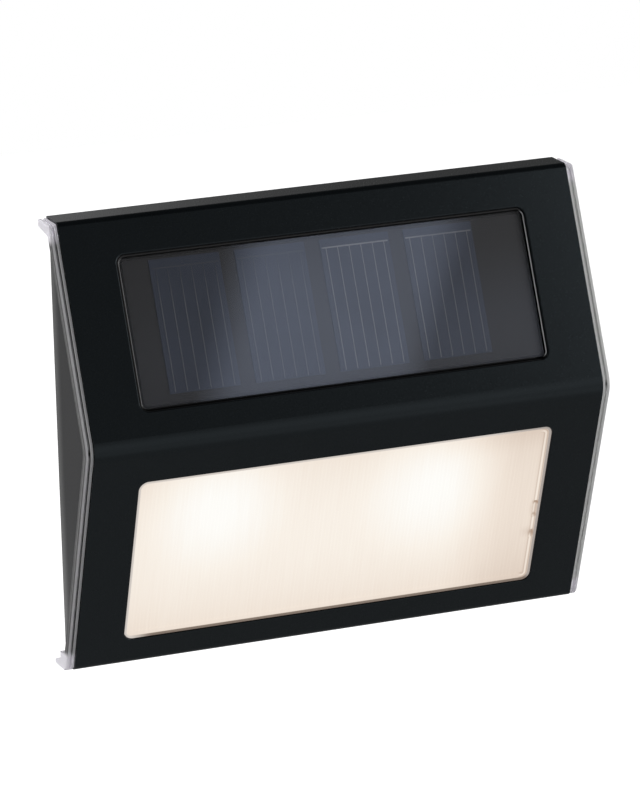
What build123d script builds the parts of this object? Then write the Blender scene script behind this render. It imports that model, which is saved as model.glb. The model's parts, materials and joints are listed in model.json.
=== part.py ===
from build123d import *
import os
from math import pi, radians, tan

# A solar wall light in millimetres: +Z is up, the wall is the plane Y = 0 and the front faces -Y.
# Depths are measured from the wall towards the front, heights from the middle of the cover.

# Front cover: one bent steel sheet with two windows
cover_width = 114.0
cover_height = 96.3
ridge_rise = 3.75
top_depth = 7.4
ridge_depth = 25.8
bottom_depth = 7.5
sheet = 0.8
ridge_bend = 6.0
flange_bend = 1.3
wall_gap = 0.6
edge_round = 0.25
solar_window_side = 11.25
solar_window_drop = 8.0
solar_window_foot = 7.36
solar_window_corner = 1.9
light_window_side = 10.45
light_window_drop = 8.75
light_window_foot = 5.98
light_window_corner = 2.0

# Tape between the cover and the clear frame
tape = 0.2
tape_width = 3.0
tape_margin = 1.2
tape_end_margin = 6.0

# Clear frame: moulded skin under the cover whose ends stand out beside it as thin grooved lips
skin = 2.0
lip = 1.85
lip_gap = 0.1
lip_recess = 0.4
lip_thickness = 1.5
lip_groove = 0.5
lip_groove_depth = 0.6
lip_inner_bead = 0.6
lip_wall_gap = 0.7
lip_round = 0.3
lip_gusset = 1.0
tab_height = 3.6
tab_step_depth = 4.1
tab_foot = 0.95
pocket_step = 0.5
pocket_shift = 0.4
pocket_round = 0.35
pocket_floor = 1.2
pocket_rim = 1.2
screw_post_radius = 2.6

# Lens: frosted panel just below the cover's face, with fine upright ribs inside a raised border
lens_recess = 0.5
lens_gap = 0.3
lens_round = 0.3
lens_flange = 1.2
lens_flange_reach = 1.5
lens_border = 1.3
lens_field_drop = 0.3
notch_width = 0.8
notch_depth = 0.5
notch_spots = ((21.5, 4.2), (28.0, 2.1))
rib_pitch = 0.8
rib_depth = 0.12

# Solar panel in its pocket
panel_gap = 0.7
solar_board_thickness = 1.0
cell_count = 4
cell_gap = 3.4
cell_left_margin = 5.75
cell_right_margin = 11.15
cell_top_margin = 0.4
cell_bottom_margin = 1.9
cell_thickness = 0.2
finger_count = 6
finger_margin = 1.25
finger_width = 0.16
busbar_width = 0.3
busbar_drop = 1.9
grid_thickness = 0.04
film_thickness = 0.5
film_air = 0.03

# Housing frame: side, top and bottom walls with an inner ledge for the back plate
side_inset = 0.65
frame_wall = 1.6
frame_back_round = 0.35
frame_fit = 0.1
ledge = 1.4
ledge_reach = 3.6
ledge_pad = 4.2

# Back plate, its gasket and its screws
plate = 2.0
plate_fit = 0.25
plate_corner = 1.5
gasket = 0.6
gasket_margin = 0.4
screw_edge = 3.75
screw_drop = 7.45
screw_radius = 1.3
screw_length = 6.5
screw_head_radius = 2.3
screw_head_height = 1.1
screw_seat_depth = 1.4
screw_clearance = 0.15
thread_fit = 0.05
seat_radius = 3.4
drive_width = 0.6
drive_depth = 0.6

# Keyhole slots for two wall screws
keyhole_spacing = 60.0
keyhole_gap = 0.6
keyhole_lift = 6.0
head_hole_radius = 4.0
shank_slot_radius = 2.2
head_pocket_radius = 4.5
head_pocket_depth = 4.0
pocket_wall = 1.2

# Battery cell and its bay
battery_radius = 5.25
battery_length = 44.5
battery_nub_radius = 1.9
battery_nub_length = 1.0
sleeve_wall = 0.2
sleeve_turn = 0.5
bay_x = -9.0
bay_z = 5.0
bay_play = 0.35
battery_back_gap = 0.55
bay_wall = 1.2
contact = 0.4
contact_size = 9.0
contact_fit = 0.05
contact_tab_width = 2.4
contact_tab_reach = 1.6
spring_wire = 0.5
spring_radius = 3.0
spring_turns = 4
spring_pitch = 1.15
spring_samples = 40

# Battery door, hinged along its upper edge and closed by a captive screw
door = 1.6
door_face = 0.4
door_lap = 2.2
door_gap = 0.3
door_corner = 1.0
knuckle_radius = 1.3
hinge_rise = 3.4
hinge_gap = 0.5
hinge_floor_gap = 0.4
pin_radius = 0.9
pin_length = 1.6
pin_clearance = 0.06
hinge_wall = 1.2
door_seal_thickness = 0.35
door_seal_width = 1.2
door_seal_gap = 0.05
door_tab_width = 9.0
door_tab_reach = 5.8
door_screw_drop = 2.8
door_screw_radius = 1.25
door_screw_length = 5.2
door_screw_head_radius = 2.3
door_screw_head_height = 0.9
door_boss_radius = 3.2
door_boss_height = 1.0
door_screw_swing = 1.0
boss_wall = 1.3

# Slide switch and its knob
switch_z = 6.0
switch_width = 8.6
switch_height = 4.4
switch_depth = 3.6
switch_air = 0.2
knob_width = 3.4
knob_height = 2.6
knob_recess = 0.5
knob_travel = 2.5
knob_gap = 0.3
stem_width = 1.8
stem_height = 1.6
stem_length = 1.2
grip_count = 3
grip_width = 0.4
grip_depth = 0.35

# Control board and what is soldered to it
board_width = 25.5
board_height = 19.0
board_thickness = 1.2
board_corner = 1.0
board_edge_gap = 5.0
board_post_radius = 2.2
board_screw_radius = 1.1
board_screw_length = 4.6
board_screw_head_radius = 1.9
board_screw_head_height = 1.2
board_screw_inset = 2.8
chip_size = 5.0
chip_height = 1.6
chip_leg_count = 4
chip_leg_width = 0.4
chip_leg_pitch = 1.27
chip_leg_reach = 1.0
chip_shift = (1.5, -4.0)
inductor_radius = 3.0
inductor_height = 5.0
inductor_flange = 0.9
inductor_waist = 2.3
inductor_shift = (-4.2, 5.2)
capacitor_radius = 2.0
capacitor_height = 5.5
capacitor_shift = (8.5, 2.5)

# LED board, LEDs and reflector
led_spacing = 50.0
led_z = -16.5
led_radius = 2.5
led_flange_radius = 2.9
led_flange = 1.0
led_length = 5.6
lead_radius = 0.25
lead_gap = 2.54
lead_length = 1.4
led_board_margin = 7.0
led_board_top = 6.9
led_board_bottom = 5.0
led_board_thickness = 1.0
led_board_lift = 1.0
led_notch_gap = 0.4
led_post_radius = 2.2
led_screw_spacing = 24.0
led_screw_length = 2.6
led_screw_head_height = 0.8
led_hole_gap = 0.3
reflector_wall = 0.8
reflector_reach = 0.8
reflector_fit = 0.1
reflector_back_top = 5.6
reflector_back_bottom = 4.3
reflector_top_drop = 5.0
reflector_bottom_rise = 0.45

# Insulated wires
wire_radius = 0.5
wire_bend = 1.6
bend_share = 0.45
wire_rise = 1.9
wire_hole_gap = 0.25
solder_gap = 3.2
solar_pad_side = 5.45
solar_pad_rise = 4.2
led_wire_inset = 4.05

least_bend = 0.3
over_cut = 1.0

# Heights and depths worked out from the sizes above
top_z = cover_height / 2
bottom_z = -cover_height / 2
skin_out = sheet + tape
skin_in = skin_out + skin
lip_back = lip_recess + lip_thickness
overall_width = cover_width + 2 * lip
frame_width = cover_width - 2 * side_inset
inside_width = frame_width - 2 * frame_wall
inside_height = cover_height - 2 * (skin_in + frame_fit + frame_wall)
ledge_near = plate + gasket
ledge_far = ledge_near + ledge
screw_x = inside_width / 2 - screw_edge
screw_z = inside_height / 2 - screw_drop
seal_floor = door_face + door + door_seal_thickness + door_seal_gap
battery_depth = seal_floor + battery_back_gap + battery_radius
bay_half = battery_radius + bay_play
bay_floor = battery_depth + bay_half
spring_length = spring_turns * spring_pitch + spring_wire
bay_length = battery_length + spring_length + 2 * contact + 4 * contact_fit
bay_left = bay_x - bay_length / 2
bay_right = bay_x + bay_length / 2
door_width = bay_length + 2 * door_lap
door_low = bay_z - bay_half - door_lap
hinge_z = bay_z + bay_half + hinge_rise
hinge_depth = door_face + knuckle_radius
hinge_top = hinge_z + knuckle_radius + hinge_gap + hinge_wall
keyhole_z = hinge_top + keyhole_gap + head_pocket_radius + pocket_wall
door_screw_z = door_low - door_screw_drop
switch_x = inside_width / 2 - board_edge_gap - board_width / 2
board_near = plate + switch_air + switch_depth
board_far = board_near + board_thickness
led_board_near = plate + led_board_lift
led_board_far = led_board_near + led_board_thickness
lens_back = skin_in + lens_flange
panel_front = skin_in - tape - solar_board_thickness

side_plane = Plane(origin=(0, 0, 0), x_dir=(0, -1, 0), z_dir=(-1, 0, 0))
back_plane = Plane(origin=(0, 0, 0), x_dir=(1, 0, 0), z_dir=(0, -1, 0))
front_line = [
    Vector(0, top_z),
    Vector(top_depth, top_z),
    Vector(ridge_depth, ridge_rise),
    Vector(bottom_depth, bottom_z),
    Vector(0, bottom_z),
]
upper_run = (front_line[2] - front_line[1]).length
lower_run = (front_line[3] - front_line[2]).length
solar_window_width = cover_width - 2 * solar_window_side
solar_window_height = upper_run - solar_window_drop - solar_window_foot
light_window_width = cover_width - 2 * light_window_side
light_window_height = lower_run - light_window_drop - light_window_foot
panel_width = solar_window_width - 2 * (pocket_step + panel_gap)
panel_height = solar_window_height - 2 * (pocket_step + panel_gap)
cell_row = panel_width - cell_left_margin - cell_right_margin
cell_width = (cell_row - (cell_count - 1) * cell_gap) / cell_count
cell_length = panel_height - cell_top_margin - cell_bottom_margin
finger_pitch = (cell_width - 2 * finger_margin) / (finger_count - 1)
SIDES = (-1, 1)


def moved_line(points, distance):
    """A run of (depth, height) points with each stretch moved to its right by a distance."""
    normals = []
    for start, end in zip(points, points[1:]):
        along = (end - start).normalized()
        normals.append(Vector(along.Y, -along.X))
    moved = [points[0] + normals[0] * distance]
    for point, before, after in zip(points[1:], normals, normals[1:]):
        moved.append(point + (before + after) * (distance / (1 + before.dot(after))))
    moved.append(points[-1] + normals[-1] * distance)
    return moved


def across(sketch, width, x=0.0):
    """A (depth, height) sketch made solid over a width along X."""
    return Pos(x, 0, 0) * extrude(side_plane * sketch, width / 2, both=True)


def behind_front(inset, width):
    """All the space between the wall and the front line, moved inward by an inset."""
    flange = max(flange_bend - inset, least_bend)
    ridge = max(ridge_bend - inset, least_bend)
    corners = moved_line(front_line, inset)
    outline = FilletPolyline(*corners, radius=[0, flange, ridge, flange, 0], close=True)
    return across(make_face(outline), width)


def between(sketch, near, far):
    """An (x, height) sketch made solid between two depths."""
    return extrude(back_plane.offset(near) * sketch, far - near)


def slab(width, height, near, far, x=0.0, z=0.0, corner=0.0):
    outline = RectangleRounded(width, height, corner) if corner else Rectangle(width, height)
    return between(Pos(x, z) * outline, near, far)


def post(radius, near, far, x, z):
    return between(Pos(x, z) * Circle(radius), near, far)


def rod(radius, length, x, depth, z):
    """A round rod along X with its middle at x."""
    return Pos(x, -depth, z) * Rot(0, 90, 0) * Cylinder(radius, length)


def panel_plane(upper, lower, inset):
    """Plane of a front panel: origin at its upper corner, local Y up the slope, facing out."""
    down = (lower - upper).normalized()
    outward = Vector(0, down.Y, down.X)
    corner = Vector(0, -upper.X, upper.Y)
    return Plane(origin=corner - outward * inset, x_dir=(1, 0, 0), z_dir=outward)


def upper_panel(inset):
    return panel_plane(front_line[1], front_line[2], inset)


def lower_panel(inset):
    return panel_plane(front_line[2], front_line[3], inset)


def on_panel(panel, sketch, outer, inner):
    """A sketch on a front panel made solid between two insets from the cover's face."""
    return extrude(panel(inner) * sketch, inner - outer)


def window(width, height, drop, corner, grow=0.0):
    rounding = max(corner + grow, least_bend)
    outline = RectangleRounded(width + 2 * grow, height + 2 * grow, rounding)
    return Pos(0, -drop - height / 2) * outline


def solar_window(grow=0.0):
    return window(solar_window_width, solar_window_height, solar_window_drop, solar_window_corner, grow)


def solar_pocket(grow=0.0):
    """Outline of the clear frame's pocket, a step inside the cover's window and a little to its right."""
    return Pos(pocket_shift, 0) * solar_window(grow - pocket_step)


def solar_panel():
    return solar_pocket(-panel_gap)


def light_window(grow=0.0):
    return window(light_window_width, light_window_height, light_window_drop, light_window_corner, grow)


def plate_screw_spots():
    return [(x * screw_x, z * screw_z) for x in SIDES for z in SIDES]


def keyhole_spots():
    return [side * keyhole_spacing / 2 for side in SIDES]


def board_middle():
    """Middle of the control board: the switch sits at its centre."""
    return switch_x, switch_z


def board_screw_spots():
    x, z = board_middle()
    reach_x = board_width / 2 - board_screw_inset
    reach_z = board_height / 2 - board_screw_inset
    return [(x - reach_x, z + reach_z), (x + reach_x, z - reach_z)]


def led_spots():
    return [side * led_spacing / 2 for side in SIDES]


def led_screw_spots():
    return [(side * led_screw_spacing / 2, led_z) for side in SIDES]


def lead_spots(x):
    return [x + side * lead_gap / 2 for side in SIDES]


def outer_edges(shape, inset, x):
    """Edges at one end of a bent sheet, on the side of its skin that faces out."""
    core = behind_front(inset, 2 * abs(x) + 2 * over_cut)
    ends = shape.edges().filter_by_position(Axis.X, x - least_bend, x + least_bend)
    return [edge for edge in ends if not core.solid().is_inside(edge @ 0.5)]


def rim_edges(shape, plane, limit):
    """Edges of a window that lie on a panel's face, within a distance from the middle."""
    rim = []
    for edge in shape.edges():
        spots = [plane.to_local_coords(edge @ step) for step in (0, 0.5, 1)]
        if all(abs(spot.Z) < film_air and abs(spot.X) < limit for spot in spots):
            rim.append(edge)
    return rim


def make_front_cover():
    wide = cover_width + 2 * over_cut
    cover = behind_front(0, cover_width) - behind_front(sheet, wide)
    cover -= slab(wide, cover_height + 2 * over_cut, -over_cut, wall_gap)
    cover -= on_panel(upper_panel, solar_window(), -over_cut, sheet + over_cut)
    cover -= on_panel(lower_panel, light_window(), -over_cut, sheet + over_cut)
    limit = cover_width / 2 - edge_round
    soft = rim_edges(cover, upper_panel(0), limit) + rim_edges(cover, lower_panel(0), limit)
    return fillet(soft, edge_round)


def cover_strip(panel, drop):
    """One strip of tape across a panel, its middle this far below the panel's upper corner."""
    outline = Pos(0, -drop) * Rectangle(cover_width - 2 * tape_end_margin, tape_width)
    return on_panel(panel, outline, sheet, sheet + tape)


def make_cover_tape():
    reach = tape_margin + tape_width / 2
    solar_end = solar_window_drop + solar_window_height
    light_end = light_window_drop + light_window_height
    strips = cover_strip(upper_panel, solar_window_drop - reach)
    strips += cover_strip(upper_panel, solar_end + reach)
    strips += cover_strip(lower_panel, light_window_drop - reach)
    strips += cover_strip(lower_panel, light_end + reach)
    return strips


def lip_span():
    """Width of one lip beside the cover, and the distance of its middle from the centre."""
    width = lip - lip_gap
    return width, overall_width / 2 - width / 2


def lip_gusset_sketch():
    """Thin web in the corner between a lip's upper return and its front."""
    top, corner, ridge = moved_line(front_line, lip_back)[:3]
    along = (ridge - corner).normalized()
    points = [corner, Vector(lip_wall_gap, top.Y), corner + along * lip_gusset]
    return make_face(Polyline(*points, close=True))


def bottom_tab_sketch():
    """Foot of a lip: it reaches down to the cover's lower edge and steps down towards the wall."""
    ridge, bottom = moved_line(front_line, skin_out)[2:4]
    slope = (bottom.X - ridge.X) / (bottom.Y - ridge.Y)
    high = bottom_z + tab_height
    points = [
        (lip_wall_gap, bottom_z),
        (bottom.X + slope * (bottom_z - bottom.Y), bottom_z),
        (bottom.X + slope * (high - bottom.Y), high),
        (tab_step_depth, high),
        (tab_step_depth, bottom_z + lip_back),
        (lip_wall_gap, bottom_z + tab_foot),
    ]
    return make_face(Polyline(*points, close=True))


def band(outer, inner, width, x):
    """A shell between two insets from the front line, over a width along X."""
    return Pos(x, 0, 0) * (behind_front(outer, width) - behind_front(inner, width + over_cut))


def make_clear_frame():
    wide = overall_width + 2 * over_cut
    frame = behind_front(skin_out, inside_width - 2 * frame_fit) - behind_front(skin_in, wide)
    width, reach = lip_span()
    frame += behind_front(skin_out, cover_width + 2 * lip) - behind_front(lip_back, wide)
    groove_reach = cover_width / 2 + lip_gap + lip_inner_bead + lip_groove / 2
    step_height = lip_back - tab_foot + over_cut
    for side in SIDES:
        frame += band(lip_recess, lip_back, width, side * reach)
        frame -= band(0, lip_recess + lip_groove_depth, lip_groove, side * groove_reach)
    frame -= slab(wide, cover_height + 2 * over_cut, -over_cut, lip_wall_gap)
    middle = (lip_recess + lip_back) / 2
    ends = outer_edges(frame, middle, -overall_width / 2) + outer_edges(frame, middle, overall_width / 2)
    frame = fillet(ends, lip_round)
    for side in SIDES:
        x = side * reach
        step_z = bottom_z + tab_foot + step_height / 2
        frame -= slab(width, step_height, -over_cut, tab_step_depth, x, step_z)
        frame += across(lip_gusset_sketch(), width, x)
        frame += across(bottom_tab_sketch(), width, x)
    frame -= on_panel(lower_panel, light_window(), sheet, skin_in + over_cut)
    frame -= on_panel(upper_panel, solar_pocket(), sheet, skin_in + over_cut)
    limit = solar_window_width / 2
    frame = fillet(rim_edges(frame, upper_panel(skin_out), limit), pocket_round)
    frame += on_panel(upper_panel, solar_pocket(pocket_rim), skin_in, skin_in + pocket_floor)
    frame -= on_panel(upper_panel, solar_pocket(), sheet, skin_in)
    for x in solar_pads():
        hole = Pos(x, -solar_pad_drop()) * Circle(wire_radius + wire_hole_gap)
        frame -= on_panel(upper_panel, hole, sheet, skin_in + pocket_floor + over_cut)
    core = behind_front((skin_out + skin_in) / 2, overall_width)
    for x, z in plate_screw_spots():
        frame += post(screw_post_radius, ledge_far, ridge_depth, x, z) & core
    for x, z in plate_screw_spots():
        tip = screw_seat_depth + screw_length + thread_fit
        frame -= post(screw_radius + thread_fit, ledge_far - over_cut, tip, x, z)
    return frame


def rib_cutter():
    """Sunk field of the lens with a row of V grooves, run up the slope between its borders."""
    field = light_window_width - 2 * (lens_gap + lens_border)
    run = light_window_height - 2 * (lens_gap + lens_border)
    count = int(field / rib_pitch)
    start = -count * rib_pitch / 2
    points = [(start, -over_cut), (start, lens_field_drop)]
    for index in range(count):
        left = start + index * rib_pitch
        points += [(left + rib_pitch / 2, lens_field_drop + rib_depth), (left + rib_pitch, lens_field_drop)]
    points.append((start + count * rib_pitch, -over_cut))
    face = lower_panel(lens_recess)
    low = light_window_drop + light_window_height - lens_gap - lens_border
    origin = face.from_local_coords(Vector(0, -low, 0))
    section = Plane(origin=origin, x_dir=face.x_dir, z_dir=face.y_dir)
    return extrude(section * make_face(Polyline(*points, close=True)), run)


def make_lens():
    pad = on_panel(lower_panel, light_window(-lens_gap), lens_recess, skin_in)
    limit = light_window_width
    pad = fillet(rim_edges(pad, lower_panel(lens_recess), limit), lens_round)
    flange = on_panel(lower_panel, light_window(lens_flange_reach), skin_in, lens_back)
    lens = pad + flange - rib_cutter()
    notch_x = light_window_width / 2 - lens_gap - lens_border + notch_width / 2
    for drop, length in notch_spots:
        outline = Pos(notch_x, -light_window_drop - drop) * Rectangle(notch_width, length)
        lens -= on_panel(lower_panel, outline, -over_cut, lens_recess + notch_depth)
    return lens


def panel_point(panel, x, drop, inset):
    """A point on a front panel, as (x, depth, height)."""
    spot = panel(inset).from_local_coords(Vector(x, -drop, 0))
    return spot.X, -spot.Y, spot.Z


def make_reflector():
    inset = lens_back + reflector_fit
    light_end = light_window_drop + light_window_height
    front_top = Vector(*panel_point(lower_panel, 0, light_window_drop - reflector_reach, inset)[1:])
    front_bottom = Vector(*panel_point(lower_panel, 0, light_end + reflector_reach / 2, inset)[1:])
    back_top = Vector(reflector_back_top, led_z + reflector_top_drop)
    back_bottom = Vector(reflector_back_bottom, front_bottom.Y + reflector_bottom_rise)
    outer = [front_top, back_top, back_bottom, front_bottom]
    inner = moved_line(outer, -reflector_wall)
    width = light_window_width + 2 * reflector_reach
    tray = across(make_face(Polyline(*outer, close=True)), width)
    tray -= across(make_face(Polyline(*inner, close=True)), width - 2 * reflector_wall)
    reach = on_panel(lower_panel, light_window(ridge_depth), lens_back - over_cut, inset)
    tray -= reach
    for x in led_spots():
        tray -= post(led_radius + led_hole_gap, 0, reflector_back_top + 2 * reflector_wall, x, led_z)
    return tray


def solar_pads():
    middle = pocket_shift + panel_width / 2 - solar_pad_side
    return [middle + side * solder_gap / 2 for side in SIDES]


def solar_pad_drop():
    """Distance of the panel's solder pads below the cover's upper corner."""
    return solar_window_drop + solar_window_height - pocket_step - solar_pad_rise


def make_solar_tape():
    strip = on_panel(upper_panel, solar_pocket(-2 * panel_gap), skin_in - tape, skin_in)
    for x in solar_pads():
        hole = Pos(x, -solar_pad_drop()) * Circle(wire_radius + wire_hole_gap)
        strip -= on_panel(upper_panel, hole, skin_out, skin_in + over_cut)
    return strip


def make_solar_board():
    return on_panel(upper_panel, solar_panel(), panel_front, skin_in - tape)


def cell_middles():
    """Middle of each cell across the panel."""
    first = pocket_shift + cell_left_margin + cell_width / 2 - panel_width / 2
    return [first + index * (cell_width + cell_gap) for index in range(cell_count)]


def cell_top():
    return solar_window_drop + pocket_step + panel_gap + cell_top_margin


def cell_sketch(x):
    return Pos(x, -cell_top() - cell_length / 2) * Rectangle(cell_width, cell_length)


def make_solar_cells():
    cells = Part()
    for x in cell_middles():
        cells += on_panel(upper_panel, cell_sketch(x), panel_front - cell_thickness, panel_front)
    return cells


def grid_sketch(x):
    """Printed lines of one cell: a busbar near the top and upright fingers below it."""
    bus_z = -cell_top() - busbar_drop
    run = cell_length - busbar_drop - busbar_width
    lines = Pos(x, bus_z) * Rectangle(cell_width - 2 * busbar_width, busbar_width)
    first = x - finger_pitch * (finger_count - 1) / 2
    for index in range(finger_count):
        lines += Pos(first + index * finger_pitch, bus_z - run / 2) * Rectangle(finger_width, run)
    return lines


def make_solar_grid():
    top = panel_front - cell_thickness
    lines = Part()
    for x in cell_middles():
        lines += on_panel(upper_panel, grid_sketch(x), top - grid_thickness, top)
    return lines


def make_solar_film():
    film = on_panel(upper_panel, solar_panel(), panel_front - film_thickness, panel_front)
    hollow = cell_thickness + grid_thickness + film_air
    for x in cell_middles():
        pocket = Pos(x, -cell_top() - cell_length / 2)
        outline = pocket * Rectangle(cell_width + 2 * film_air, cell_length + 2 * film_air)
        film -= on_panel(upper_panel, outline, panel_front - hollow, panel_front + over_cut)
    return film


def ledge_pads(near, far):
    """Wide pads that carry the four screws, run in from the side walls."""
    pads = Part()
    width = screw_edge + ledge_pad
    for x, z in plate_screw_spots():
        middle = (inside_width / 2 - width / 2) * (1 if x > 0 else -1)
        pads += slab(width, 2 * ledge_pad, near, far, middle, z)
    return pads


def make_housing_frame():
    frame = behind_front(skin_in + frame_fit, frame_width)
    for side in SIDES:
        x = side * (frame_width - frame_wall) / 2
        frame += Pos(x, 0, 0) * behind_front(lip_back + frame_fit, frame_wall)
    frame -= slab(inside_width, inside_height, -over_cut, ridge_depth)
    back_edges = []
    for side in SIDES:
        x = side * frame_width / 2
        ends = frame.edges().filter_by(Axis.Z).filter_by_position(Axis.X, x - least_bend, x + least_bend)
        back_edges += ends.filter_by_position(Axis.Y, -least_bend, least_bend)
    frame = fillet(back_edges, frame_back_round)
    ring = slab(inside_width + frame_wall, inside_height + frame_wall, ledge_near, ledge_far)
    opening_width = inside_width - 2 * ledge_reach
    opening_height = inside_height - 2 * ledge_reach
    ring -= slab(opening_width, opening_height, ledge_near - over_cut, ledge_far + over_cut)
    ring += ledge_pads(ledge_near, ledge_far)
    for x, z in plate_screw_spots():
        ring -= post(screw_radius + screw_clearance, ledge_near - over_cut, ledge_far + over_cut, x, z)
    return frame + ring


def make_back_gasket():
    width = inside_width - 2 * (plate_fit + gasket_margin)
    height = inside_height - 2 * (plate_fit + gasket_margin)
    opening_width = inside_width - 2 * (ledge_reach - gasket_margin)
    opening_height = inside_height - 2 * (ledge_reach - gasket_margin)
    ring = slab(width, height, plate, ledge_near)
    ring -= slab(opening_width, opening_height, plate - over_cut, ledge_near + over_cut)
    ring += ledge_pads(plate, ledge_near) & slab(width, height, plate, ledge_near)
    for x, z in plate_screw_spots():
        ring -= post(seat_radius + screw_clearance, plate - over_cut, ledge_near + over_cut, x, z)
    return ring


def keyhole_sketch(x, low_radius, high_radius):
    """Round entry with a slot above it, or the pocket that lets the screw head travel."""
    top = keyhole_z + keyhole_lift
    slot = Pos(x, keyhole_z + keyhole_lift / 2) * Rectangle(2 * high_radius, keyhole_lift)
    return Pos(x, keyhole_z) * Circle(low_radius) + slot + Pos(x, top) * Circle(high_radius)


def door_sketch(grow=0.0):
    """Outline of the battery door with its screw tab, grown by a gap."""
    height = hinge_z - door_low
    leaf = Pos(bay_x, door_low + height / 2) * Rectangle(door_width + 2 * grow, height + 2 * grow)
    reach = door_tab_reach + door_corner
    tab_middle = door_low + door_corner - reach / 2
    tab_outline = RectangleRounded(door_tab_width + 2 * grow, reach + 2 * grow, door_corner)
    return leaf + Pos(bay_x, tab_middle) * tab_outline


def bay_walls():
    """Battery bay, door rim, hinge block and screw boss, as one solid behind the plate."""
    start = plate / 2
    width = bay_length + 2 * bay_wall
    walls = slab(width, 2 * (bay_half + bay_wall), start, bay_floor + bay_wall, bay_x, bay_z)
    walls += between(door_sketch(door_gap + boss_wall), start, seal_floor + boss_wall)
    hinge_width = door_width + 2 * (pin_length + 2 * hinge_wall)
    hinge_low = hinge_z - knuckle_radius - hinge_floor_gap - hinge_wall
    hinge_far = hinge_depth + knuckle_radius + hinge_floor_gap + hinge_wall
    hinge_middle = (hinge_low + hinge_top) / 2
    walls += slab(hinge_width, hinge_top - hinge_low, start, hinge_far, bay_x, hinge_middle)
    boss_far = door_screw_tip() + 2 * door_gap + boss_wall
    walls += post(door_screw_radius + door_screw_swing + boss_wall, start, boss_far, bay_x, door_screw_z)
    return walls


def door_screw_seat():
    return door_face + door + door_boss_height - boss_wall


def door_screw_tip():
    return door_screw_seat() + door_screw_length


def bay_cuts():
    """Bay, rebate, hinge trough, screw hole, pin sockets and contact slots to cut away."""
    cuts = slab(bay_length, 2 * bay_half, -over_cut, bay_floor, bay_x, bay_z)
    cuts += between(door_sketch(door_gap), -over_cut, seal_floor)
    trough_low = hinge_z - knuckle_radius - hinge_floor_gap
    trough_high = hinge_z + knuckle_radius + hinge_gap
    trough_far = hinge_depth + knuckle_radius + hinge_floor_gap
    trough_middle = (trough_low + trough_high) / 2
    trough_width = door_width + 2 * door_gap
    cuts += slab(trough_width, trough_high - trough_low, -over_cut, trough_far, bay_x, trough_middle)
    boss_far = door_face + door + door_boss_height + door_gap
    cuts += post(door_boss_radius + 2 * door_gap, -over_cut, boss_far, bay_x, door_screw_z)
    hole_far = door_screw_tip() + 2 * door_gap
    cuts += post(door_screw_radius + door_screw_swing, -over_cut, hole_far, bay_x, door_screw_z)
    socket = door_width + 2 * (pin_length + hinge_wall)
    cuts += rod(pin_radius + pin_clearance, socket, bay_x, hinge_depth, hinge_z)
    slot_width = contact + 2 * contact_fit
    slot_height = contact_tab_width + 2 * contact_fit
    for x in contact_middles():
        slot_far = bay_floor + bay_wall + over_cut
        cuts += slab(slot_width, slot_height, bay_floor - over_cut, slot_far, x, bay_z)
    return cuts


def make_back_plate():
    width = inside_width - 2 * plate_fit
    height = inside_height - 2 * plate_fit
    back = slab(width, height, 0, plate, corner=plate_corner)
    for x, z in plate_screw_spots():
        back += post(seat_radius, plate / 2, ledge_near, x, z)
    pocket_far = plate + head_pocket_depth
    for x in keyhole_spots():
        reach = head_pocket_radius + pocket_wall
        back += between(keyhole_sketch(x, reach, reach), plate / 2, pocket_far + pocket_wall)
    for x, z in board_screw_spots():
        back += post(board_post_radius, plate / 2, board_near, x, z)
    for x, z in led_screw_spots():
        back += post(led_post_radius, plate / 2, led_board_near, x, z)
    back += bay_walls()
    back -= bay_cuts()
    for x in keyhole_spots():
        back -= between(keyhole_sketch(x, head_hole_radius, shank_slot_radius), -over_cut, plate)
        back -= between(keyhole_sketch(x, head_pocket_radius, head_pocket_radius), plate, pocket_far)
    for x, z in plate_screw_spots():
        back -= post(screw_head_radius + screw_clearance, -over_cut, screw_seat_depth, x, z)
        back -= post(screw_radius + screw_clearance, -over_cut, ledge_near + over_cut, x, z)
    for x, z in board_screw_spots():
        back -= post(board_screw_radius + thread_fit, plate, board_near + over_cut, x, z)
    for x, z in led_screw_spots():
        back -= post(board_screw_radius + thread_fit, plate / 2, led_board_near + over_cut, x, z)
    slot_width = knob_width + knob_travel + 2 * knob_gap
    slot_middle = switch_x - knob_travel / 2
    slot_height = knob_height + 2 * knob_gap
    back -= slab(slot_width, slot_height, -over_cut, plate + over_cut, slot_middle, switch_z)
    return back


def screw(x, z, head_near, head_radius, head_height, radius, length):
    """Pan-head screw driven towards the front, with a cross recess."""
    seat = head_near + head_height
    solid = post(head_radius, head_near, seat, x, z) + post(radius, seat, seat + length, x, z)
    for width, height in ((drive_width, head_radius), (head_radius, drive_width)):
        solid -= slab(width, height, head_near - over_cut, head_near + drive_depth, x, z)
    return solid


def facing_screw(x, z, seat, head_radius, head_height, radius, length):
    """Pan-head screw driven towards the wall, its head on the front side of a board."""
    solid = post(head_radius, seat, seat + head_height, x, z) + post(radius, seat - length, seat, x, z)
    top = seat + head_height
    for width, height in ((drive_width, head_radius), (head_radius, drive_width)):
        solid -= slab(width, height, top - drive_depth, top + over_cut, x, z)
    return solid


def make_plate_screws():
    head_near = screw_seat_depth - screw_head_height
    screws = Part()
    for x, z in plate_screw_spots():
        screws += screw(x, z, head_near, screw_head_radius, screw_head_height, screw_radius, screw_length)
    return screws


def make_battery_door():
    leaf = between(door_sketch(), door_face, door_face + door)
    leaf += rod(knuckle_radius, door_width, bay_x, hinge_depth, hinge_z)
    leaf += rod(pin_radius, door_width + 2 * pin_length, bay_x, hinge_depth, hinge_z)
    leaf += post(door_boss_radius, door_face, door_face + door + door_boss_height, bay_x, door_screw_z)
    seat = door_screw_seat()
    leaf -= post(door_screw_head_radius + screw_clearance, -over_cut, seat, bay_x, door_screw_z)
    leaf -= post(door_screw_radius + thread_fit, -over_cut, bay_floor, bay_x, door_screw_z)
    return leaf


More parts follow.
